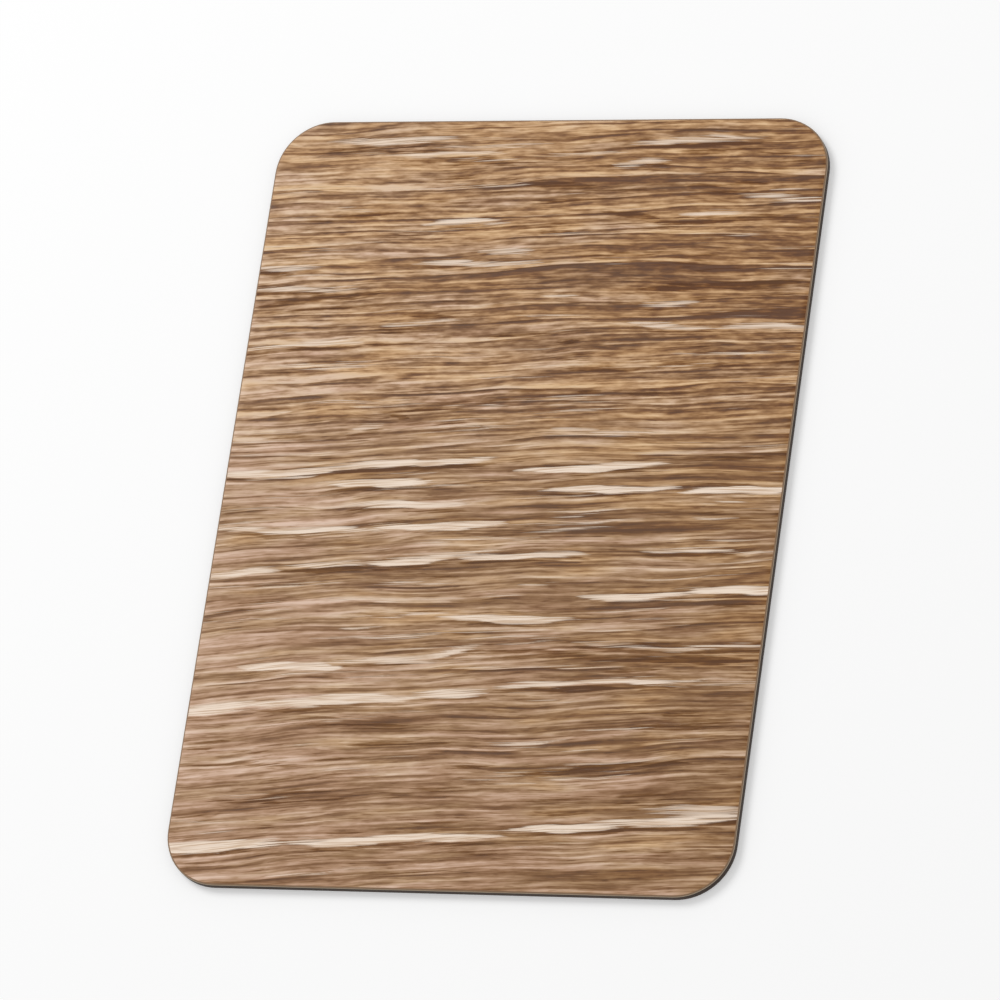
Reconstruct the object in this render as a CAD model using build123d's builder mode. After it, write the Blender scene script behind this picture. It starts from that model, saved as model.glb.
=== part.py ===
from build123d import *
import os

# Sample-size sheet of wood-grain decorative laminate, lying on its sanded back.
# The back is on Z = 0 with its centre at the origin, the printed face looks up,
# the long sides run along Y and the printed grain runs along X.

sheet_width = 50.0  # along X, the way the grain runs
sheet_length = 70.0  # along Y
sheet_thickness = 0.8  # overlay, print and core pressed into one board
corner_radius = 4.8  # the four corners seen from above
face_edge_radius = 0.15  # eased edge round the printed face
back_edge_break = 0.08  # sanded edge round the back

with BuildPart() as laminate_sheet:
    with BuildSketch(Plane.XY):
        RectangleRounded(sheet_width, sheet_length, corner_radius)
    extrude(amount=sheet_thickness)
    face_outline = edges().group_by(Axis.Z)[-1]
    back_outline = edges().group_by(Axis.Z)[0]
    fillet(face_outline, face_edge_radius)
    chamfer(back_outline, back_edge_break)

laminate_sheet.part.label = "laminate_sheet"

os.makedirs("parts", exist_ok=True)
export_step(laminate_sheet.part, "parts/laminate_sheet.step")
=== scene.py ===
import math
import bmesh
import bpy
import numpy as np
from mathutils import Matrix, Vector


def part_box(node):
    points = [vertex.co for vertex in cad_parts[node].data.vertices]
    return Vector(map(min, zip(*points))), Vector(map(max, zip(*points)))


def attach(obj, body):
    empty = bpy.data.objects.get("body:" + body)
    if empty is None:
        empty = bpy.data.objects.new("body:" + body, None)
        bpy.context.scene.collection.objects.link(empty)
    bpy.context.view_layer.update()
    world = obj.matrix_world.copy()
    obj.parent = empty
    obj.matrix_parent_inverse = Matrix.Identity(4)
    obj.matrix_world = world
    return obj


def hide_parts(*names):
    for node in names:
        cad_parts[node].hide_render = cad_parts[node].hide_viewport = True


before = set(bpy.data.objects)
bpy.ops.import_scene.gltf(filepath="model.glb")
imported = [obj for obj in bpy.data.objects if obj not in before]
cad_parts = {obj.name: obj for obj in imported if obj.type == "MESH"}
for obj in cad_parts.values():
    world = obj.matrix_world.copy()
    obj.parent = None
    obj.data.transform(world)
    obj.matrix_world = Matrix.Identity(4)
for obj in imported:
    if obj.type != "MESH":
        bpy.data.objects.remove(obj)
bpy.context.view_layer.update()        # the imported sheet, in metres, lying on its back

mm = 0.001
sheetLow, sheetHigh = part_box("laminate_sheet")
sheetSize = sheetHigh - sheetLow
faceLevel = sheetHigh.z


def selectEdges(piece, wanted):
    # edge mode, with only the edges that pass the test left selected
    bpy.ops.mesh.select_mode(type="EDGE")
    bpy.ops.mesh.select_all(action="DESELECT")
    shape = bmesh.from_edit_mesh(piece.data)
    for edge in shape.edges:
        edge.select_set(wanted(edge))
    shape.select_flush_mode()
    bmesh.update_edit_mesh(piece.data)


# Node helpers: a number is written on the socket itself, a socket is linked to it

def feed(tree, value, socket):
    if isinstance(value, bpy.types.NodeSocket):
        tree.links.new(value, socket)
    else:
        socket.default_value = value


def calc(tree, operation, first, second=0.0, third=0.0):
    node = tree.nodes.new("ShaderNodeMath")
    node.operation = operation
    for value, socket in zip((first, second, third), node.inputs):
        feed(tree, value, socket)
    return node.outputs[0]


def swing(tree, noise, weight):
    # noise between 0 and 1, made to swing about nothing by the weight in all
    return calc(tree, "MULTIPLY_ADD", noise, weight, -weight / 2)


def remap(tree, value, low, high, toLow=0.0, toHigh=1.0):
    node = tree.nodes.new("ShaderNodeMapRange")
    node.interpolation_type = "SMOOTHSTEP"
    feed(tree, value, node.inputs["Value"])
    node.inputs["From Min"].default_value = low
    node.inputs["From Max"].default_value = high
    node.inputs["To Min"].default_value = toLow
    node.inputs["To Max"].default_value = toHigh
    return node.outputs["Result"]


def streaks(tree, along, across, pitch, seed, detail=2.0, rough=0.55):
    # noise stretched along the grain; pitch is a streak's length and height in mm
    place = tree.nodes.new("ShaderNodeCombineXYZ")
    feed(tree, calc(tree, "MULTIPLY", along, 1 / pitch[0]), place.inputs[0])
    feed(tree, calc(tree, "MULTIPLY", across, 1 / pitch[1]), place.inputs[1])
    place.inputs[2].default_value = seed
    noise = tree.nodes.new("ShaderNodeTexNoise")
    noise.inputs["Scale"].default_value = 1.0
    noise.inputs["Detail"].default_value = detail
    noise.inputs["Roughness"].default_value = rough
    tree.links.new(place.outputs[0], noise.inputs["Vector"])
    return noise.outputs["Fac"]


def blendColour(tree, amount, first, second, how="MIX"):
    node = tree.nodes.new("ShaderNodeMix")
    node.data_type = "RGBA"
    node.blend_type = how
    feed(tree, amount, node.inputs["Factor"])
    feed(tree, first, node.inputs[6])       # the two colours, and below the blended one
    feed(tree, second, node.inputs[7])
    return node.outputs[2]


def tint(tree, amount, colour, shade):
    # the colour multiplied by the shade, as far as the amount says
    return blendColour(tree, amount, colour, (*shade, 1), "MULTIPLY")


def toneRamp(tree, tone, look):
    # the colours of a look, each at the tone where it stands
    node = tree.nodes.new("ShaderNodeValToRGB")
    band = node.color_ramp
    while len(band.elements) < len(look["toneAt"]):
        band.elements.new(0.5)
    for stop, (name, place) in zip(band.elements, look["toneAt"].items()):
        stop.position = place
        stop.color = (*look[name], 1)
    tree.links.new(tone, node.inputs[0])
    return node.outputs[0]


def attribute(tree, name):
    node = tree.nodes.new("ShaderNodeAttribute")
    node.attribute_name = name
    return node.outputs["Fac"]


def millimetres(tree):
    # the piece's own coordinates, in mm, as three sockets
    where = tree.nodes.new("ShaderNodeTexCoord")
    scaled = tree.nodes.new("ShaderNodeVectorMath")
    scaled.operation = "SCALE"
    scaled.inputs["Scale"].default_value = 1 / mm
    tree.links.new(where.outputs["Object"], scaled.inputs[0])
    parts = tree.nodes.new("ShaderNodeSeparateXYZ")
    tree.links.new(scaled.outputs[0], parts.inputs[0])
    return parts.outputs


def newMaterial(name):
    material = bpy.data.materials.new(name)
    material.use_nodes = True
    tree = material.node_tree
    return material, tree, tree.nodes["Principled BSDF"]


def surfaceRelief(tree, shader, height, depth):
    bump = tree.nodes.new("ShaderNodeBump")
    bump.inputs["Strength"].default_value = 1.0
    bump.inputs["Distance"].default_value = depth
    tree.links.new(height, bump.inputs["Height"])
    tree.links.new(bump.outputs[0], shader.inputs["Normal"])


# The sheet: a block with rounded corners, cut into a fine grid so that its grooves are real

sheetCut = {
    "cornerRadius": 4.8 * mm,       # seen from above
    "cornerSegments": 16,
    "faceEdgeRadius": 0.15 * mm,    # eased edge round the printed face
    "faceEdgeSegments": 3,
    "backEdgeBreak": 0.08 * mm,
    "cells": (10, 70),              # coarse cells along and across the grain
    "borderCells": (1, 5),          # outer cells cut finely before the rest, as far in as the corners reach
    "cutsPerCell": 9,               # leaves 0.5 mm along the grain and 0.1 mm across it
    "longEdge": 0.75 * mm,          # an edge over this length isn't cut finely yet
    "near": 0.001 * mm,             # closer than this counts as the same place
    "backNormal": -0.99,            # a face whose normal points further down is the back
    "flatNormal": 0.98,             # a face this far turned up or down takes the face's or the back's look
    "smoothAngle": 35,              # degrees; edges flatter than this are shaded smooth
}


def gridPlanes(halfSpan, cells, borderCells, cuts):
    # coarse lines everywhere, and the fine pitch only in the outer cells
    cell = 2 * halfSpan / cells
    coarse = [-halfSpan + cell * step for step in range(1, cells)]
    fine = [cell * step / (cuts + 1) for step in range(1, borderCells * (cuts + 1)) if step % (cuts + 1)]
    return coarse + [halfSpan - step for step in fine] + [step - halfSpan for step in fine]


def cutSheet(name):
    cut = sheetCut
    near = cut["near"]
    bpy.ops.object.select_all(action="DESELECT")
    bpy.ops.mesh.primitive_cube_add(size=1, location=(sheetLow + sheetHigh) / 2)
    sheet = bpy.context.object
    sheet.name = name
    sheet.scale = sheetSize
    bpy.ops.object.transform_apply(location=True, rotation=False, scale=True)
    bpy.ops.object.mode_set(mode="EDIT")

    def upright(edge):
        a, b = edge.verts
        return (a.co.xy - b.co.xy).length < near

    def atLevel(level):
        return lambda edge: all(abs(v.co.z - level) < near for v in edge.verts)

    selectEdges(sheet, upright)
    bpy.ops.mesh.bevel(offset=cut["cornerRadius"], segments=cut["cornerSegments"], affect="EDGES")
    selectEdges(sheet, atLevel(faceLevel))
    bpy.ops.mesh.bevel(offset=cut["faceEdgeRadius"], segments=cut["faceEdgeSegments"], affect="EDGES")
    selectEdges(sheet, atLevel(sheetLow.z))
    bpy.ops.mesh.bevel(offset=cut["backEdgeBreak"], segments=1, affect="EDGES")

    for axis in (0, 1):
        normal = Vector((0, 0, 0))
        normal[axis] = 1
        halfSpan = sheetSize[axis] / 2 - cut["faceEdgeRadius"]
        planes = gridPlanes(halfSpan, cut["cells"][axis], cut["borderCells"][axis], cut["cutsPerCell"])
        for place in planes:
            bpy.ops.mesh.select_all(action="SELECT")
            bpy.ops.mesh.bisect(plane_co=normal * place, plane_no=normal, threshold=near / 10)

    def longAndLevel(edge):
        a, b = edge.verts
        seen = any(face.normal.z > cut["backNormal"] for face in edge.link_faces)
        return seen and abs(a.co.z - b.co.z) < near and edge.calc_length() > cut["longEdge"]

    selectEdges(sheet, longAndLevel)
    bpy.ops.mesh.subdivide(number_cuts=cut["cutsPerCell"])
    bpy.ops.mesh.select_all(action="SELECT")
    bpy.ops.mesh.remove_doubles(threshold=near)
    bpy.ops.mesh.normals_make_consistent(inside=False)
    bpy.ops.object.mode_set(mode="OBJECT")
    print("sheet cut:", len(sheet.data.polygons), "faces")
    return sheet


# How the grain runs, for the small pressed pores and for the print

grainRun = {
    "rise": 0.045,              # how steeply it rises to the right, at the middle of the sheet
    "riseChange": -0.0007,      # and how that changes with each mm of y
    "sag": 0.0005,              # mm that it bends down for each square mm of x
    "waver": 1.8,               # mm in all that it wavers up and down
    "waverNoise": ((20, 8), 3.1),   # length and height in mm, seed
}

# The large limed pores of the print, as they were read, in mm from the face's middle: x and y
# of the two ends, half width, how strong the lime is and how dark the painted shadow below it is.
# limedStroke makes them longer and wider, and stronger past the near third.

limedPores = [
    # near third
    (-24.2, -31.9, -14.5, -31.2, 0.42, 0.95, 0.3),
    (-15.0, -31.2, 4.4, -30.0, 0.32, 0.90, 0.6),
    (4.8, -29.7, 15.5, -28.8, 0.30, 0.85, 0.9),
    (12.5, -28.9, 24.7, -27.9, 0.34, 0.75, 0.8),
    (15.5, -27.7, 24.6, -27.2, 0.40, 0.50, 0.0),
    (-22.0, -27.3, -13.0, -27.0, 0.22, 0.30, 0.3),
    (0.5, -25.2, 6.5, -24.3, 0.24, 0.35, 0.2),
    (5.8, -24.2, 19.5, -22.8, 0.22, 0.35, 1.0),
    (-24.7, -23.9, -11.0, -23.8, 0.22, 0.35, 0.3),
    (-24.9, -20.0, -19.5, -18.8, 0.40, 0.95, 0.2),
    (-20.5, -18.9, -4.5, -17.9, 0.36, 0.90, 0.9),
    (-5.5, -17.9, 1.8, -17.3, 0.34, 0.70, 0.8),
    (1.8, -17.0, 10.5, -16.3, 0.26, 0.65, 0.4),
    (9.5, -16.4, 18.0, -16.2, 0.26, 0.75, 1.0),
    (19.5, -16.4, 24.7, -16.1, 0.22, 0.35, 0.0),
    (-20.8, -15.5, -11.8, -15.4, 0.35, 1.00, 0.1),
    (-13.0, -15.1, -3.5, -14.3, 0.26, 0.50, 0.3),
    (-4.5, -14.4, 0.5, -13.3, 0.26, 0.60, 0.5),
    (8.5, -12.8, 16.5, -13.3, 0.22, 0.50, 0.6),
    (15.5, -13.4, 24.8, -12.9, 0.24, 0.55, 0.6),
    # middle third
    (-3.8, -10.9, 8.2, -10.8, 0.28, 0.70, 0.3),
    (8.5, -8.9, 18.8, -8.4, 0.26, 0.65, 0.3),
    (17.5, -8.3, 24.9, -7.9, 0.30, 0.80, 0.2),
    (-25.0, -7.5, -18.6, -6.7, 0.32, 0.60, 0.0),
    (-18.2, -6.3, -10.8, -6.1, 0.24, 0.45, 0.8),
    (-11.0, -6.0, -2.8, -5.4, 0.28, 0.70, 0.5),
    (-3.5, -5.4, 8.8, -5.0, 0.24, 0.60, 0.6),
    (13.5, -4.5, 22.2, -4.6, 0.22, 0.50, 1.0),
    (-24.4, -3.1, -10.0, -3.0, 0.26, 0.60, 0.4),
    (-10.9, -2.8, 1.0, -2.3, 0.30, 0.75, 0.2),
    (3.8, -2.0, 8.8, -1.7, 0.19, 0.25, 0.0),
    (-13.6, -0.8, -2.8, -0.5, 0.30, 0.60, 0.3),
    (3.8, 0.7, 15.8, 1.1, 0.26, 0.70, 0.3),
    (16.0, 0.7, 24.9, 1.1, 0.28, 0.80, 0.2),
    (-15.6, 1.0, -6.3, 1.6, 0.30, 0.75, 0.6),
    (-25.0, 1.7, -14.3, 2.6, 0.28, 0.80, 0.4),
    (-15.2, 2.7, -0.8, 3.6, 0.26, 0.75, 0.9),
    (1.4, 2.5, 14.4, 3.2, 0.28, 0.85, 0.5),
    # far third, fainter than the middle
    (-24.2, 5.9, -16.8, 6.1, 0.22, 0.25, 0.3),
    (-15.0, 5.9, -11.3, 6.5, 0.24, 0.40, 0.5),
    (7.0, 6.0, 13.8, 6.1, 0.22, 0.40, 0.3),
    (-22.2, 11.8, -12.3, 12.4, 0.32, 0.40, 0.0),
    (-24.8, 13.6, -14.3, 14.3, 0.28, 0.55, 0.5),
    (-13.7, 15.9, -5.8, 16.3, 0.22, 0.50, 0.2),
    (9.3, 16.0, 17.3, 15.6, 0.24, 0.55, 0.3),
    (16.8, 15.7, 24.8, 15.7, 0.24, 0.60, 0.2),
    (9.8, 17.8, 15.2, 17.9, 0.24, 0.45, 0.2),
    (-24.3, 19.1, -14.8, 19.2, 0.24, 0.45, 0.7),
    (-24.8, 21.0, -18.8, 21.4, 0.26, 0.45, 0.6),
    (-10.7, 21.5, 0.7, 21.7, 0.26, 0.55, 0.2),
    (-5.2, 22.6, 0.2, 22.7, 0.30, 0.40, 0.0),
    (-10.7, 25.2, -2.8, 25.6, 0.26, 0.60, 0.2),
    (12.3, 26.2, 18.2, 26.1, 0.24, 0.50, 0.5),
    (-19.2, 26.6, -13.3, 26.8, 0.22, 0.35, 0.5),
    (17.1, 27.8, 24.9, 27.4, 0.26, 0.50, 0.2),
    (5.8, 30.8, 11.2, 31.1, 0.26, 0.50, 0.2),
    (-14.2, 31.8, -4.3, 31.9, 0.24, 0.45, 0.7),
    (-20.2, 33.0, -8.8, 33.3, 0.32, 0.55, 0.3),
    (7.0, 32.8, 19.2, 33.2, 0.26, 0.55, 0.7),
]

# The darkest grain lines of the print, read the same way and drawn as they are written here: the two
# ends, half width, strength

darkVeins = [
    (-24.8, -29.1, -20.5, -29.0, 0.18, 0.50),
    (-17.8, -26.7, -10.8, -26.6, 0.20, 0.55),
    (14.3, -26.5, 21.2, -26.3, 0.24, 0.50),
    (-24.8, -23.1, -16.5, -23.0, 0.16, 0.55),
    (-10.2, -22.3, 0.2, -22.0, 0.22, 0.45),
    (-10.7, -20.8, -4.8, -20.6, 0.26, 0.60),
    (13.5, -20.4, 25.0, -19.7, 0.40, 0.55),
    (16.8, -19.1, 21.7, -19.0, 0.24, 0.60),
    (-0.3, -13.9, 11.5, -14.1, 0.40, 0.70),
    (9.5, -14.2, 25.0, -14.2, 0.42, 0.75),
    (20.2, -9.5, 25.0, -9.2, 0.26, 0.50),
    (-21.2, -0.8, -14.8, -1.2, 0.22, 0.55),
    (-23.7, 7.6, -18.3, 7.8, 0.22, 0.55),
    (-11.0, 7.4, -9.0, 7.4, 0.24, 0.60),
    (5.3, 9.7, 8.0, 9.7, 0.24, 0.70),
    (3.6, 11.8, 12.3, 12.0, 0.26, 0.75),
    (11.3, 12.2, 20.3, 12.2, 0.30, 0.75),
    (2.8, 14.3, 5.4, 14.3, 0.26, 0.60),
    (-11.8, 16.7, -6.2, 16.6, 0.18, 0.75),
    (-24.8, 17.7, -13.3, 18.8, 0.30, 0.70),
    (9.3, 19.1, 15.8, 19.3, 0.34, 0.75),
    (14.8, 19.5, 25.0, 19.8, 0.36, 0.75),
    (-24.8, 20.3, -19.8, 20.2, 0.20, 0.60),
    (3.2, 22.4, 7.7, 22.1, 0.24, 0.65),
    (-0.2, 24.6, 4.2, 24.1, 0.26, 0.55),
    (-23.0, 25.8, -14.3, 25.7, 0.22, 0.75),
    (4.8, 26.4, 11.5, 25.5, 0.22, 0.70),
    (8.8, 25.4, 25.0, 25.7, 0.28, 0.80),
    (-4.2, 29.4, 5.2, 28.4, 0.36, 0.50),
    (16.3, 28.7, 20.2, 28.8, 0.26, 0.60),
    (-15.7, 30.5, -9.8, 31.0, 0.24, 0.60),
    (-10.7, 31.1, 0.2, 31.1, 0.30, 0.70),
    (11.3, 31.9, 16.7, 31.9, 0.30, 0.70),
]

pores = {
    "limeWidth": 1.20,          # all limed pores wider or narrower at once
    "limeLonger": 0.05,         # how much longer at either end, as a share of a pore's length
    "nearSide": 24.0,           # mm from the middle: a pore that passes this runs off the sheet
    "offSheet": 27.0,           # mm, where such a pore ends, so that it has its full width at the side
    "middleLift": 0.15,         # limed pores are this much stronger in the middle third
    "farLift": 0.08,            # and this much in the far third
    "middleFrom": -12.0,        # mm along the sheet, where the middle third begins
    "farFrom": 5.0,
    "shadowBandWidth": 0.20,           # mm, half the width of the painted shadow under a limed pore
    "shadowBandDrop": 0.8,             # how far below the pore's side it lies, in such half widths
    "shadowBandMore": 0.15,            # all painted shadows under the limed pores darker at once
    "sway": 0.10,               # mm, how far a long pore wanders off its straight line
    "swayTurns": (0.55, 1.7),   # radians in a mm, of its long and its short waves
    "shortSway": 0.3,           # how high the short waves are beside the long ones
    "swell": 0.12,              # how much wider and narrower a pore gets along its length
    "swellTurn": 0.6,
    "taper": 0.45,              # powers: a lower one keeps the width up nearer to the ends
    "fade": 0.35,               # and this one the strength
    "edge": 0.26,               # mm, from full strength to none across a pore's side
    "margin": 1.0,              # mm above and below a pore's line that its mark can reach
    "phases": 6,                # radians, the most that a pore's waves are shifted
    "depth": 0.040 * mm,        # how deep a limed pore is pressed in
    "veinDepth": 0.5,           # a dark line's depth as a share of that
    "leastPress": 0.02,         # fainter marks than this aren't pressed in
    "seed": 21,
    "fineCount": 320,           # small pores between the large ones
    "fineSpread": (24, 34),     # mm, how far their own middles lie from the sheet's, in x and y
    "fineLength": (4.0, 14.0),
    "fineTilt": 0.012,          # how far their slope strays from the grain's
    "fineHalfWidth": (0.09, 0.16),
    "fineStrength": (0.22, 0.62),
    "limedStretch": (-20, 8),   # mm along the sheet, where most of them are limed
    "limedShare": (0.75, 0.35),     # how many are limed there and elsewhere; the others are dark
}


def strokeMark(x, y, ends, halfWidth, phase):
    # 1 inside the stroke and 0 outside, narrower and fainter towards both ends
    startX, startY, endX, endY = ends
    longTurn, shortTurn = pores["swayTurns"]
    along = (2 * x - startX - endX) / (endX - startX)
    waves = np.sin(x * longTurn + phase) + pores["shortSway"] * np.sin(x * shortTurn + phase * 3)
    middle = (startY + endY + (endY - startY) * along) / 2 + pores["sway"] * waves
    reach = np.clip(1 - along ** 2, 0, 1)
    swell = 1 + pores["swell"] * np.sin(x * pores["swellTurn"] + phase * 2)
    width = halfWidth * reach ** pores["taper"] * swell
    mark = np.clip((width - np.abs(y - middle)) / pores["edge"] + 0.5, 0, 1)
    return mark * reach ** pores["fade"]


def limedStroke(row):
    # one limed pore as it is drawn: longer and wider than it was read, and stronger past the near third
    # darkness: how dark the painted shadow below the pore is
    startX, startY, endX, endY, halfWidth, strength, darkness = row
    growX = pores["limeLonger"] * (endX - startX)
    growY = pores["limeLonger"] * (endY - startY)
    left = startX - growX
    right = endX + growX
    if left < -pores["nearSide"]:
        left = -pores["offSheet"]
    if right > pores["nearSide"]:
        right = pores["offSheet"]
    if startY > pores["farFrom"]:
        strength = min(1.0, strength + pores["farLift"])
    elif startY > pores["middleFrom"]:
        strength = min(1.0, strength + pores["middleLift"])
    ends = (left, startY - growY, right, endY + growY)
    return ends, halfWidth * pores["limeWidth"], strength, darkness


def finePores(dice):
    # small pores along the grain, mostly limed in one stretch of the sheet and mostly dark elsewhere
    spreadX, spreadY = pores["fineSpread"]
    limedFrom, limedTo = pores["limedStretch"]
    limedHere, limedElsewhere = pores["limedShare"]
    strokes = []
    for _ in range(pores["fineCount"]):
        x = dice.uniform(-spreadX, spreadX)
        y = dice.uniform(-spreadY, spreadY)
        reach = dice.uniform(*pores["fineLength"]) / 2
        slope = grainRun["rise"] + grainRun["riseChange"] * y + dice.normal(0, pores["fineTilt"])
        share = limedHere if limedFrom < y < limedTo else limedElsewhere
        limed = dice.random() < share
        ends = (x - reach, y - slope * reach, x + reach, y + slope * reach)
        halfWidth = dice.uniform(*pores["fineHalfWidth"])
        strength = dice.uniform(*pores["fineStrength"])
        strokes.append((ends, halfWidth, strength, limed))
    return strokes


def pressPores(sheet):
    count = len(sheet.data.vertices)
    places = np.empty(count * 3, np.float32)
    sheet.data.vertices.foreach_get("co", places)
    x, y, z = (places.reshape(-1, 3) / mm).T.astype(float)
    lime = np.zeros(count)
    veinAndShadow = np.zeros(count)
    dice = np.random.default_rng(pores["seed"])

    def draw(field, ends, halfWidth, strength, phase, drop=0.0):
        # a stroke drawn into the field, as far below its own line as the drop says
        startX, startY, endX, endY = ends
        low = min(startY, endY) - drop - pores["margin"]
        high = max(startY, endY) - drop + pores["margin"]
        near = np.flatnonzero((y > low) & (y < high) & (x > startX) & (x < endX))
        mark = strength * strokeMark(x[near], y[near] + drop, ends, halfWidth, phase)
        field[near] = np.maximum(field[near], mark)

    for row in limedPores:
        ends, halfWidth, strength, darkness = limedStroke(row)
        phase = dice.uniform(0, pores["phases"])
        draw(lime, ends, halfWidth, strength, phase)
        # painted shadow: a dark band drawn just below each limed pore, where the lower side of its groove
        # would be in shade; it is pressed in a little too
        drop = halfWidth + pores["shadowBandDrop"] * pores["shadowBandWidth"]
        draw(veinAndShadow, ends, pores["shadowBandWidth"], darkness + pores["shadowBandMore"], phase, drop)
    for *ends, halfWidth, strength in darkVeins:
        draw(veinAndShadow, ends, halfWidth, strength, dice.uniform(0, pores["phases"]))
    for ends, halfWidth, strength, limed in finePores(dice):
        draw(lime if limed else veinAndShadow, ends, halfWidth, strength, dice.uniform(0, pores["phases"]))

    for name, marks in (("lime", lime), ("veinAndShadow", veinAndShadow)):
        layer = sheet.data.attributes.new(name, "FLOAT", "POINT")
        layer.data.foreach_set("value", marks.astype(np.float32))
    depth = np.maximum(lime, veinAndShadow * pores["veinDepth"])
    onFace = z > (faceLevel - sheetCut["near"]) / mm
    groove = sheet.vertex_groups.new(name="groove")
    for index in np.flatnonzero(onFace & (depth > pores["leastPress"])):
        groove.add([int(index)], float(depth[index]), "REPLACE")
    sink = sheet.modifiers.new("sinkPores", "DISPLACE")
    sink.direction = "Z"
    sink.mid_level = 0.0
    sink.strength = -pores["depth"]
    sink.vertex_group = groove.name
    bpy.context.view_layer.objects.active = sheet
    bpy.ops.object.modifier_apply(modifier=sink.name)
    print("pores pressed:", len(limedPores) + len(darkVeins) + pores["fineCount"])


# Printed face: limed brown oak under satin melamine

printLayers = {
    # streaks that add up to the print's tone: length and height in mm, seed, detail, weight
    "bands": (45, 5.0, 11.7, 2.0, 0.52),
    "longStreaks": (30, 1.10, 5.3, 1.0, 0.58),
    "lines": (22, 0.50, 53.9, 1.0, 1.22),
    "figure": (12, 0.75, 23.9, 2.0, 0.50),
    "fibre": (6.5, 0.26, 41.3, 2.0, 1.00),
    "hair": (3.5, 0.13, 63.1, 2.0, 0.55),
    "flecks": (1.5, 0.36, 17.3, 2.0, 0.46),
}

ringLayers = {
    # growth lines: lines in a mm at the middle, how that rises with each mm of y, their wander in lines,
    # dark and pale width in mm, seed, how dark and how pale
    "rings": (0.56, 0.0030, 2.2, 0.50, 0.80, 31.1, 0.40, 0.30),
    "pinLines": (1.65, 0.0040, 4.0, 0.24, 0.26, 87.1, 0.24, 0.17),
}

ringLook = {
    "driftSize": (30, 5),       # mm, length and height of the noise that makes the lines wander
    "breakSize": (9, 1.0),      # mm along a line and from one line to the next, of what breaks them up
    "breakStep": 3.7,           # far enough that each line breaks in places of its own
    "showsFrom": (0.38, 0.58),  # of that noise, from hidden to full
    "farMore": 0.005,           # more of them show with each mm further off
    "faintest": 0.3,            # strength of the faintest line
    "darkPeak": 0.2,            # of the dark width: how near to the line it is darkest
    "crossing": 0.05,           # mm to either side, over which dark gives way to pale
}

poreGrain = {
    "contrast": 2.2,            # how strongly fine noise breaks a pore up
    "level": -1.33,             # lower leaves more gaps
    "lift": 0.6,                # a power: under 1 it brings out the faint pores
    "fill": 1.20,
    "coverFrom": (0.34, 0.62),  # from bare wood to full cover
}

facePrint = {
    "midTone": 0.52,                # tone before anything is added, where 0 is dark and 1 is pale
    "leftToRight": -0.0043,         # tone for each mm to the right: the left side is paler
    "farBegins": (3.0, 10.0),       # mm along the sheet, over which the far third's look sets in
    "farMottle": 0.60,              # how much stronger its short flecks are
    "farTint": (0.98, 0.945, 0.91),
    # noise: length and height in mm, seed, and some with their detail
    "tickNoise": ((1.7, 0.14), 29.9, 1.0),
    "veinNoise": ((6.0, 0.16), 97.7),
    "limeNoise": ((9.0, 0.13), 57.1),
    "chalkNoise": ((5.0, 0.10), 83.3),
    "hueNoise": ((10, 1.6), 71.9, 3.0),
    "tickFrom": (0.58, 0.70),       # short dark pores: of their noise, from none to full
    "tickDark": 0.16,
    "veinAndShadowDark": 0.25,               # the pressed dark lines, and the painted shadows below the limed pores
    "deep": (0.100, 0.034, 0.003),
    "umber": (0.170, 0.066, 0.010),
    "brown": (0.292, 0.150, 0.056),
    "tan": (0.468, 0.280, 0.148),
    "sand": (0.690, 0.480, 0.318),
    "cream": (0.820, 0.620, 0.450),
    "toneAt": {"deep": 0.00, "umber": 0.19, "brown": 0.39, "tan": 0.58, "sand": 0.83, "cream": 0.99},
    "hueFar": -0.004,               # hue for each mm further off, and to the right: it gets warmer
    "hueRight": -0.003,
    "pinkFrom": (0.46, 0.72),       # hue, from no tint to the full one
    "pinkTint": (0.99, 0.94, 1.00),
    "honeyFrom": (0.58, 0.30),
    "honeyTint": (1.02, 0.93, 0.72),
    "lime": (1.000, 0.830, 0.680),
    "chalkFrom": (0.34, 0.54),      # of its noise, from sandy to white lime
    "middleBegins": (-22.0, -8.0),  # mm along the sheet, where the open wood takes more lime
    "middleEnds": (9.0, 2.0),
    "openLime": 0.24,               # lime in the pale wood beside the growth lines
    "openLimeMore": 0.20,           # and how much more of it in the middle
    "pressedFrom": (0.25, 0.80),    # how strong a pressed pore is, from the least cover to the full one
    "leastCover": 0.5,
    "limeCover": 1.0,
    "roughness": 0.46,
    "fibreRough": 0.16,             # how much it varies with the fibres
    "poreRough": 0.14,              # how much rougher the pores are
    "specular": 0.28,
    "relief": 0.03 * mm,
    "flatHeight": 0.5,              # heights as shares of the relief
    "fibreHeight": 0.6,
    "hairHeight": 0.5,
    "lineSunk": 0.6,
    "limeSunk": 0.5,
}


def grainFlow(tree, x, y):
    # y with the grain's rise to the right, its bend and its slow waver taken out
    slope = calc(tree, "MULTIPLY_ADD", y, grainRun["riseChange"], grainRun["rise"])
    rise = calc(tree, "MULTIPLY", x, slope)
    sag = calc(tree, "MULTIPLY", calc(tree, "MULTIPLY", x, x), grainRun["sag"])
    waver = swing(tree, streaks(tree, x, y, *grainRun["waverNoise"]), grainRun["waver"])
    level = calc(tree, "SUBTRACT", calc(tree, "ADD", y, sag), rise)
    return calc(tree, "ADD", level, waver)


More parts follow.
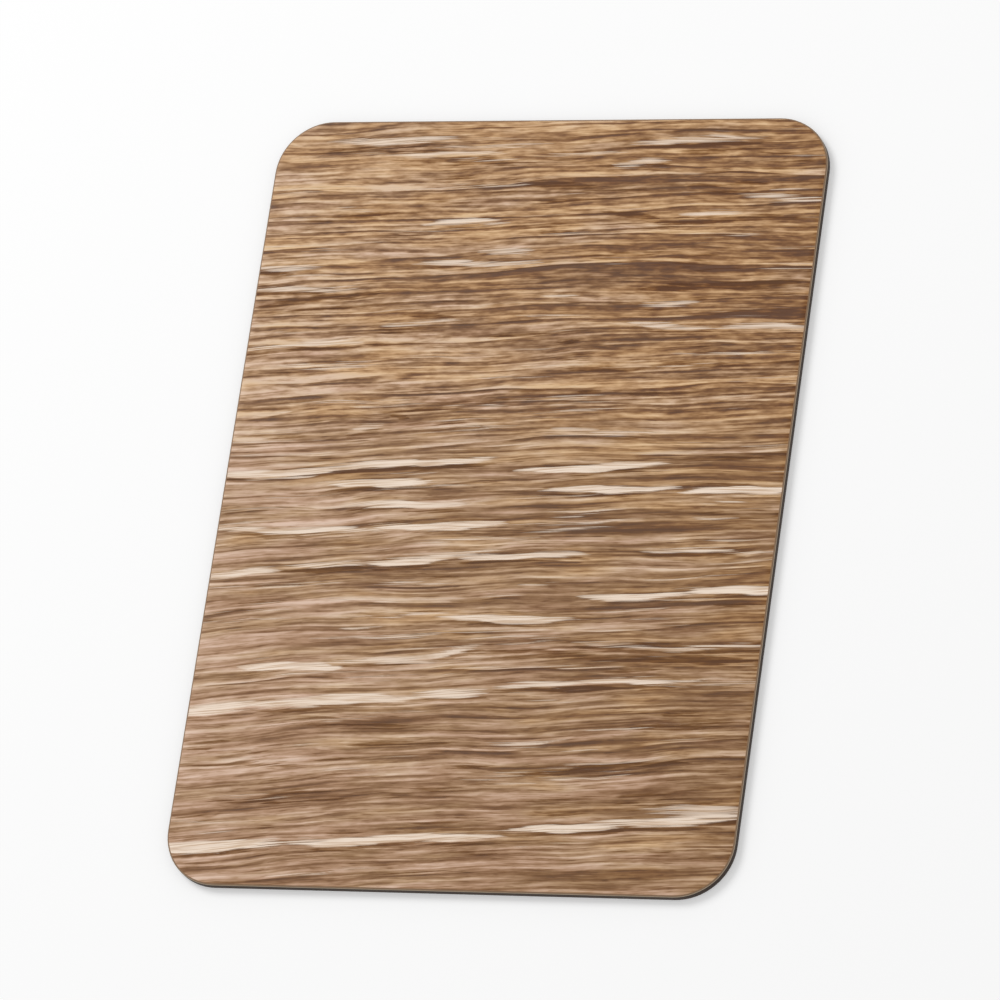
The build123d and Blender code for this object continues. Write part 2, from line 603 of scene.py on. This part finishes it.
def growthLines(tree, x, y, grain, layer):
    # dark lines along the grain, each with pale wood above it and a strength of its own
    perMm, rise, wander, darkWidth, paleWidth, seed, darkness, paleness = ringLayers[layer]
    count = calc(tree, "MULTIPLY", grain, calc(tree, "MULTIPLY_ADD", grain, rise, perMm))
    drift = swing(tree, streaks(tree, x, grain, ringLook["driftSize"], seed), wander)
    count = calc(tree, "ADD", count, drift)
    number = calc(tree, "FLOOR", calc(tree, "ADD", count, 0.5))
    rate = calc(tree, "MULTIPLY_ADD", grain, 2 * rise, perMm)
    above = calc(tree, "DIVIDE", calc(tree, "SUBTRACT", count, number), rate)

    luck = tree.nodes.new("ShaderNodeTexWhiteNoise")
    luck.noise_dimensions = "1D"
    tree.links.new(number, luck.inputs["W"])
    faintest = ringLook["faintest"]
    strength = calc(tree, "MULTIPLY_ADD", luck.outputs["Value"], 1 - faintest, faintest)
    row = calc(tree, "MULTIPLY", number, ringLook["breakStep"])
    shown = streaks(tree, x, row, ringLook["breakSize"], seed + 2)
    shown = calc(tree, "MULTIPLY_ADD", y, ringLook["farMore"], shown)
    strength = calc(tree, "MULTIPLY", remap(tree, shown, *ringLook["showsFrom"]), strength)

    crossing = ringLook["crossing"]
    dark = remap(tree, above, -darkWidth, -ringLook["darkPeak"] * darkWidth)
    dark = calc(tree, "MULTIPLY", dark, remap(tree, above, crossing, -crossing))
    dark = calc(tree, "MULTIPLY", dark, strength)
    pale = remap(tree, above, paleWidth, 0.0)
    pale = calc(tree, "MULTIPLY", pale, remap(tree, above, -crossing, crossing))
    pale = calc(tree, "MULTIPLY", pale, strength)
    change = calc(tree, "MULTIPLY_ADD", pale, paleness, calc(tree, "MULTIPLY", dark, -darkness))
    return change, dark, pale


def poreCover(tree, x, grain, amount, pitch, seed):
    # fine fibres of noise that close up as the amount rises
    noise = streaks(tree, x, grain, pitch, seed)
    noise = calc(tree, "MULTIPLY_ADD", noise, poreGrain["contrast"], poreGrain["level"])
    lifted = calc(tree, "POWER", amount, poreGrain["lift"])
    return remap(tree, calc(tree, "MULTIPLY_ADD", lifted, poreGrain["fill"], noise), *poreGrain["coverFrom"])


def woodColour(tree, x, y, grain, tone, farSide):
    wood = toneRamp(tree, tone, facePrint)
    hue = streaks(tree, x, grain, *facePrint["hueNoise"])
    hue = calc(tree, "MULTIPLY_ADD", y, facePrint["hueFar"], hue)
    hue = calc(tree, "MULTIPLY_ADD", x, facePrint["hueRight"], hue)
    wood = tint(tree, remap(tree, hue, *facePrint["pinkFrom"]), wood, facePrint["pinkTint"])
    wood = tint(tree, remap(tree, hue, *facePrint["honeyFrom"]), wood, facePrint["honeyTint"])
    return tint(tree, farSide, wood, facePrint["farTint"])


def limeWood(tree, x, y, grain, ringPale, wood):
    # lime in the pressed pores, and a little in the pale wood beside the growth lines
    begins = remap(tree, y, *facePrint["middleBegins"])
    ends = remap(tree, y, *facePrint["middleEnds"])
    middle = calc(tree, "MULTIPLY", begins, ends)
    openWood = calc(tree, "MULTIPLY_ADD", middle, facePrint["openLimeMore"], facePrint["openLime"])
    openWood = calc(tree, "MULTIPLY", ringPale, openWood)
    pressed = attribute(tree, "lime")
    lime = poreCover(tree, x, grain, calc(tree, "MAXIMUM", pressed, openWood), *facePrint["limeNoise"])
    chalk = remap(tree, streaks(tree, x, grain, *facePrint["chalkNoise"]), *facePrint["chalkFrom"])
    filling = blendColour(tree, chalk, (*facePrint["sand"], 1), (*facePrint["lime"], 1))
    cover = remap(tree, pressed, *facePrint["pressedFrom"], facePrint["leastCover"], facePrint["limeCover"])
    return blendColour(tree, calc(tree, "MULTIPLY", lime, cover), wood, filling), lime


def printedFace():
    material, tree, shader = newMaterial("printedFace")
    x, y = millimetres(tree)[:2]
    grain = grainFlow(tree, x, y)
    farSide = remap(tree, y, *facePrint["farBegins"])
    veinAndShadow = poreCover(tree, x, grain, attribute(tree, "veinAndShadow"), *facePrint["veinNoise"])
    ringChange, ringDark, ringPale = growthLines(tree, x, y, grain, "rings")
    pinChange = growthLines(tree, x, y, grain, "pinLines")[0]

    tone = calc(tree, "MULTIPLY_ADD", x, facePrint["leftToRight"], facePrint["midTone"])
    layers = {}
    for name, (length, height, seed, detail, weight) in printLayers.items():
        layers[name] = streaks(tree, x, grain, (length, height), seed, detail)
        tone = calc(tree, "ADD", tone, swing(tree, layers[name], weight))
    mottle = swing(tree, layers["flecks"], facePrint["farMottle"])
    tone = calc(tree, "ADD", tone, calc(tree, "MULTIPLY", mottle, farSide))
    tone = calc(tree, "ADD", tone, calc(tree, "ADD", ringChange, pinChange))
    ticks = remap(tree, streaks(tree, x, grain, *facePrint["tickNoise"]), *facePrint["tickFrom"])
    tone = calc(tree, "SUBTRACT", tone, calc(tree, "MULTIPLY", ticks, facePrint["tickDark"]))
    # the dark lines and fine dark pores, and the painted shadows below the limed pores, darken the tone
    tone = calc(tree, "SUBTRACT", tone, calc(tree, "MULTIPLY", veinAndShadow, facePrint["veinAndShadowDark"]))

    wood = woodColour(tree, x, y, grain, tone, farSide)
    wood, lime = limeWood(tree, x, y, grain, ringPale, wood)
    tree.links.new(wood, shader.inputs["Base Color"])

    sheen = calc(tree, "ADD", swing(tree, layers["fibre"], facePrint["fibreRough"]), facePrint["roughness"])
    pressed = calc(tree, "MAXIMUM", lime, veinAndShadow)
    sheen = calc(tree, "MULTIPLY_ADD", pressed, facePrint["poreRough"], sheen)
    tree.links.new(sheen, shader.inputs["Roughness"])
    shader.inputs["Specular IOR Level"].default_value = facePrint["specular"]

    height = calc(tree, "MULTIPLY_ADD", layers["fibre"], facePrint["fibreHeight"], facePrint["flatHeight"])
    height = calc(tree, "MULTIPLY_ADD", layers["hair"], facePrint["hairHeight"], height)
    darkLines = calc(tree, "MAXIMUM", veinAndShadow, ringDark)
    height = calc(tree, "MULTIPLY_ADD", darkLines, -facePrint["lineSunk"], height)
    height = calc(tree, "MULTIPLY_ADD", lime, -facePrint["limeSunk"], height)
    surfaceRelief(tree, shader, height, facePrint["relief"])
    return material


# Cut edge: the print's rim on top, a pale paper line, and the dark pressed core

edgeCut = {
    "rim": (0.270, 0.165, 0.095),
    "paper": (0.560, 0.450, 0.330),
    "core": (0.034, 0.020, 0.013),
    "coreLine": (0.085, 0.050, 0.030),
    "rimDepth": 0.06,               # mm below the face
    "paperDepth": 0.12,
    "crossing": 0.01,               # mm to either side, over which one layer gives way to the next
    "waver": 0.05,                  # mm in all that the layers waver up and down
    "waverNoise": ((2.0, 2.0), 4.4, 3.0),   # size in mm, seed, detail
    "ply": 0.16,                    # mm, one sheet of the core
    "plyFrom": (0.55, 1.0),         # of a ply's wave, where the line between two plies shows
    "plyLine": 0.8,
    "plyTone": 0.5,                 # how far such a line and the marks of the cut lighten the core
    "markTone": 0.5,
    "markSize": (0.09, 0.09, 1.2),  # mm in x, y and z: the marks of the cut run up and down the edge
    "markDetail": 3.0,
    "markFrom": (0.4, 0.75),
    "roughness": 0.55,
    "markRough": 0.2,               # how much it varies with the marks
    "specular": 0.28,
    "relief": 0.02 * mm,
    "plyHeight": 0.4,               # of a line between plies, beside the marks
}


def aboveDepth(tree, level, depth):
    # 1 above that depth under the face, and 0 below it
    border = faceLevel / mm - depth
    return remap(tree, level, border - edgeCut["crossing"], border + edgeCut["crossing"])


def cutMarks(tree, x, y, z):
    place = tree.nodes.new("ShaderNodeCombineXYZ")
    for value, pitch, socket in zip((x, y, z), edgeCut["markSize"], place.inputs):
        feed(tree, calc(tree, "MULTIPLY", value, 1 / pitch), socket)
    cuts = tree.nodes.new("ShaderNodeTexNoise")
    cuts.inputs["Scale"].default_value = 1.0
    cuts.inputs["Detail"].default_value = edgeCut["markDetail"]
    tree.links.new(place.outputs[0], cuts.inputs["Vector"])
    return cuts.outputs["Fac"]


def cutEdge():
    material, tree, shader = newMaterial("cutEdge")
    x, y, z = millimetres(tree)
    alongEdge = calc(tree, "ADD", x, y)
    acrossEdge = calc(tree, "SUBTRACT", x, y)
    waver = streaks(tree, alongEdge, acrossEdge, *edgeCut["waverNoise"])
    level = calc(tree, "ADD", z, swing(tree, waver, edgeCut["waver"]))
    plies = calc(tree, "SINE", calc(tree, "MULTIPLY", level, 2 * math.pi / edgeCut["ply"]))
    lines = remap(tree, plies, *edgeCut["plyFrom"], 0.0, edgeCut["plyLine"])
    marks = cutMarks(tree, x, y, z)
    tone = remap(tree, marks, *edgeCut["markFrom"], 0.0, edgeCut["markTone"])
    tone = calc(tree, "MULTIPLY_ADD", lines, edgeCut["plyTone"], tone)

    edge = blendColour(tree, tone, (*edgeCut["core"], 1), (*edgeCut["coreLine"], 1))
    edge = blendColour(tree, aboveDepth(tree, level, edgeCut["paperDepth"]), edge, (*edgeCut["paper"], 1))
    edge = blendColour(tree, aboveDepth(tree, level, edgeCut["rimDepth"]), edge, (*edgeCut["rim"], 1))
    tree.links.new(edge, shader.inputs["Base Color"])

    rough = calc(tree, "ADD", swing(tree, marks, edgeCut["markRough"]), edgeCut["roughness"])
    tree.links.new(rough, shader.inputs["Roughness"])
    shader.inputs["Specular IOR Level"].default_value = edgeCut["specular"]
    height = calc(tree, "MULTIPLY_ADD", lines, edgeCut["plyHeight"], marks)
    surfaceRelief(tree, shader, height, edgeCut["relief"])
    return material


# Back: the core's last brown sheet, sanded for glue along the sheet

backLayers = {
    # noise that adds up to the back's tone: length and height in mm, seed, detail, roughness, weight
    "scratches": (16, 0.10, 13.1, 3.0, 0.65, 1.1),
    "crossing": (9, 0.16, 37.9, 3.0, 0.65, 0.8),
    "passes": (60, 3.5, 61.7, 2.0, 0.55, 0.5),
    "cloudy": (9, 12, 29.3, 4.0, 0.60, 0.5),
    "fibres": (0.5, 0.7, 19.1, 3.0, 0.70, 0.3),
}

backSanding = {
    "deep": (0.125, 0.060, 0.026),
    "brown": (0.225, 0.116, 0.056),
    "dusty": (0.385, 0.232, 0.135),
    "toneAt": {"deep": 0.15, "brown": 0.50, "dusty": 0.85},
    "midTone": 0.5,             # tone before anything is added
    "scratchTilt": 0.05,        # mm to the side for each mm along the sheet
    "crossingTilt": -0.03,
    "roughness": 0.72,
    "scratchRough": 0.16,       # how much it varies with the scratches
    "specular": 0.28,
    "relief": 0.03 * mm,
    "crossingHeight": 0.6,      # of the crossing scratches, beside the others
}


def sandedBack():
    material, tree, shader = newMaterial("sandedBack")
    x, y = millimetres(tree)[:2]
    tilted = calc(tree, "MULTIPLY_ADD", y, backSanding["scratchTilt"], x)
    crossed = calc(tree, "MULTIPLY_ADD", y, backSanding["crossingTilt"], x)
    ways = {
        "scratches": (y, tilted),
        "crossing": (y, crossed),
        "passes": (y, x),
        "cloudy": (x, y),
        "fibres": (x, y),
    }
    layers = {}
    tone = backSanding["midTone"]
    for name, (length, height, seed, detail, rough, weight) in backLayers.items():
        layers[name] = streaks(tree, *ways[name], (length, height), seed, detail, rough)
        tone = calc(tree, "ADD", tone, swing(tree, layers[name], weight))
    tree.links.new(toneRamp(tree, tone, backSanding), shader.inputs["Base Color"])

    rough = swing(tree, layers["scratches"], backSanding["scratchRough"])
    rough = calc(tree, "ADD", rough, backSanding["roughness"])
    tree.links.new(rough, shader.inputs["Roughness"])
    shader.inputs["Specular IOR Level"].default_value = backSanding["specular"]
    crossing = calc(tree, "MULTIPLY", layers["crossing"], backSanding["crossingHeight"])
    surfaceRelief(tree, shader, calc(tree, "ADD", layers["scratches"], crossing), backSanding["relief"])
    return material


def dressSheet(sheet):
    # before the pores are pressed in, while the face is still flat
    for material in (printedFace(), cutEdge(), sandedBack()):
        sheet.data.materials.append(material)
    for face in sheet.data.polygons:
        if face.normal.z > sheetCut["flatNormal"]:
            face.material_index = 0
        elif face.normal.z < -sheetCut["flatNormal"]:
            face.material_index = 2
        else:
            face.material_index = 1


def smoothSheet(sheet):
    bpy.ops.object.select_all(action="DESELECT")
    sheet.select_set(True)
    bpy.context.view_layer.objects.active = sheet
    bpy.ops.object.shade_smooth_by_angle(angle=math.radians(sheetCut["smoothAngle"]))


sheet = cutSheet("decorated_sheet")
dressSheet(sheet)
pressPores(sheet)
smoothSheet(sheet)
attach(sheet, "root")
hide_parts("laminate_sheet")
print("sheet dressed")


# Floor and light: white ground that keeps the sheet's shadow, soft light from the far left

studio = {
    "floorSize": 4.0,
    "floorGap": 0.02 * mm,      # between the floor and the sheet's back
    "floorColour": (0.80, 0.80, 0.80, 1),
    "floorRoughness": 0.9,
    "floorGlow": 0.3,           # only what the camera, mirrors and glass see of the floor
    "skyLevel": 0.55,           # what the sheet gets from the world, which is itself seen white
    "keyPlace": (-0.50, 0.42, 0.62),
    "keySize": 0.45,
    "keyWatts": 3.4,
}


def seenRays(tree):
    # 1 for rays from the camera, off mirrors and through glass, and 0 for those that gather light
    path = tree.nodes.new("ShaderNodeLightPath")
    seen = calc(tree, "MAXIMUM", path.outputs["Is Camera Ray"], path.outputs["Is Glossy Ray"])
    return calc(tree, "MAXIMUM", seen, path.outputs["Is Transmission Ray"])


def layFloor():
    bpy.ops.object.select_all(action="DESELECT")
    floorPlace = (0, 0, sheetLow.z - studio["floorGap"])
    bpy.ops.mesh.primitive_plane_add(size=studio["floorSize"], location=floorPlace)
    floor = bpy.context.object
    floor.name = "floor"
    material, tree, shader = newMaterial("whiteGround")
    shader.inputs["Base Color"].default_value = studio["floorColour"]
    shader.inputs["Roughness"].default_value = studio["floorRoughness"]
    shader.inputs["Specular IOR Level"].default_value = 0.0
    shader.inputs["Emission Color"].default_value = (1, 1, 1, 1)
    glow = calc(tree, "MULTIPLY", seenRays(tree), studio["floorGlow"])
    tree.links.new(glow, shader.inputs["Emission Strength"])
    floor.data.materials.append(material)


def lightSheet():
    world = bpy.data.worlds.new("studio")
    bpy.context.scene.world = world
    world.use_nodes = True
    tree = world.node_tree
    level = remap(tree, seenRays(tree), 0.0, 1.0, studio["skyLevel"], 1.0)
    tree.links.new(level, tree.nodes["Background"].inputs["Strength"])
    tree.nodes["Background"].inputs["Color"].default_value = (1, 1, 1, 1)
    bpy.ops.object.light_add(type="AREA", location=studio["keyPlace"])
    key = bpy.context.object
    key.name = "softKey"
    key.data.shape = "DISK"
    key.data.size = studio["keySize"]
    key.data.energy = studio["keyWatts"]
    key.rotation_euler = Vector(studio["keyPlace"]).to_track_quat("Z", "Y").to_euler()


# Camera: the photograph's angle on this sheet, turned so that its near edge is level

viewpoint = {
    "azimuth": 44.0,
    "elevation": 60.3,
    "roll": -39.5,
    "distance": 0.676,
    "lens": 290.0,
    "sensor": 36.0,
    "nearest": 0.01,
}


def placeCamera():
    aim = (sheetLow + sheetHigh) / 2
    side = math.radians(viewpoint["azimuth"])
    up = math.radians(viewpoint["elevation"])
    back = Vector((math.sin(side) * math.cos(up), -math.cos(side) * math.cos(up), math.sin(up)))
    bpy.ops.object.camera_add(location=aim + back * viewpoint["distance"])
    camera = bpy.context.object
    camera.data.sensor_width = viewpoint["sensor"]
    camera.data.lens = viewpoint["lens"]
    camera.data.clip_start = viewpoint["nearest"]
    camera.rotation_euler = back.to_track_quat("Z", "Y").to_euler()
    camera.rotation_euler.rotate_axis("Z", math.radians(viewpoint["roll"]))
    bpy.context.scene.camera = camera


layFloor()
lightSheet()
placeCamera()
bpy.context.scene.view_settings.view_transform = "Standard"
print("studio set")
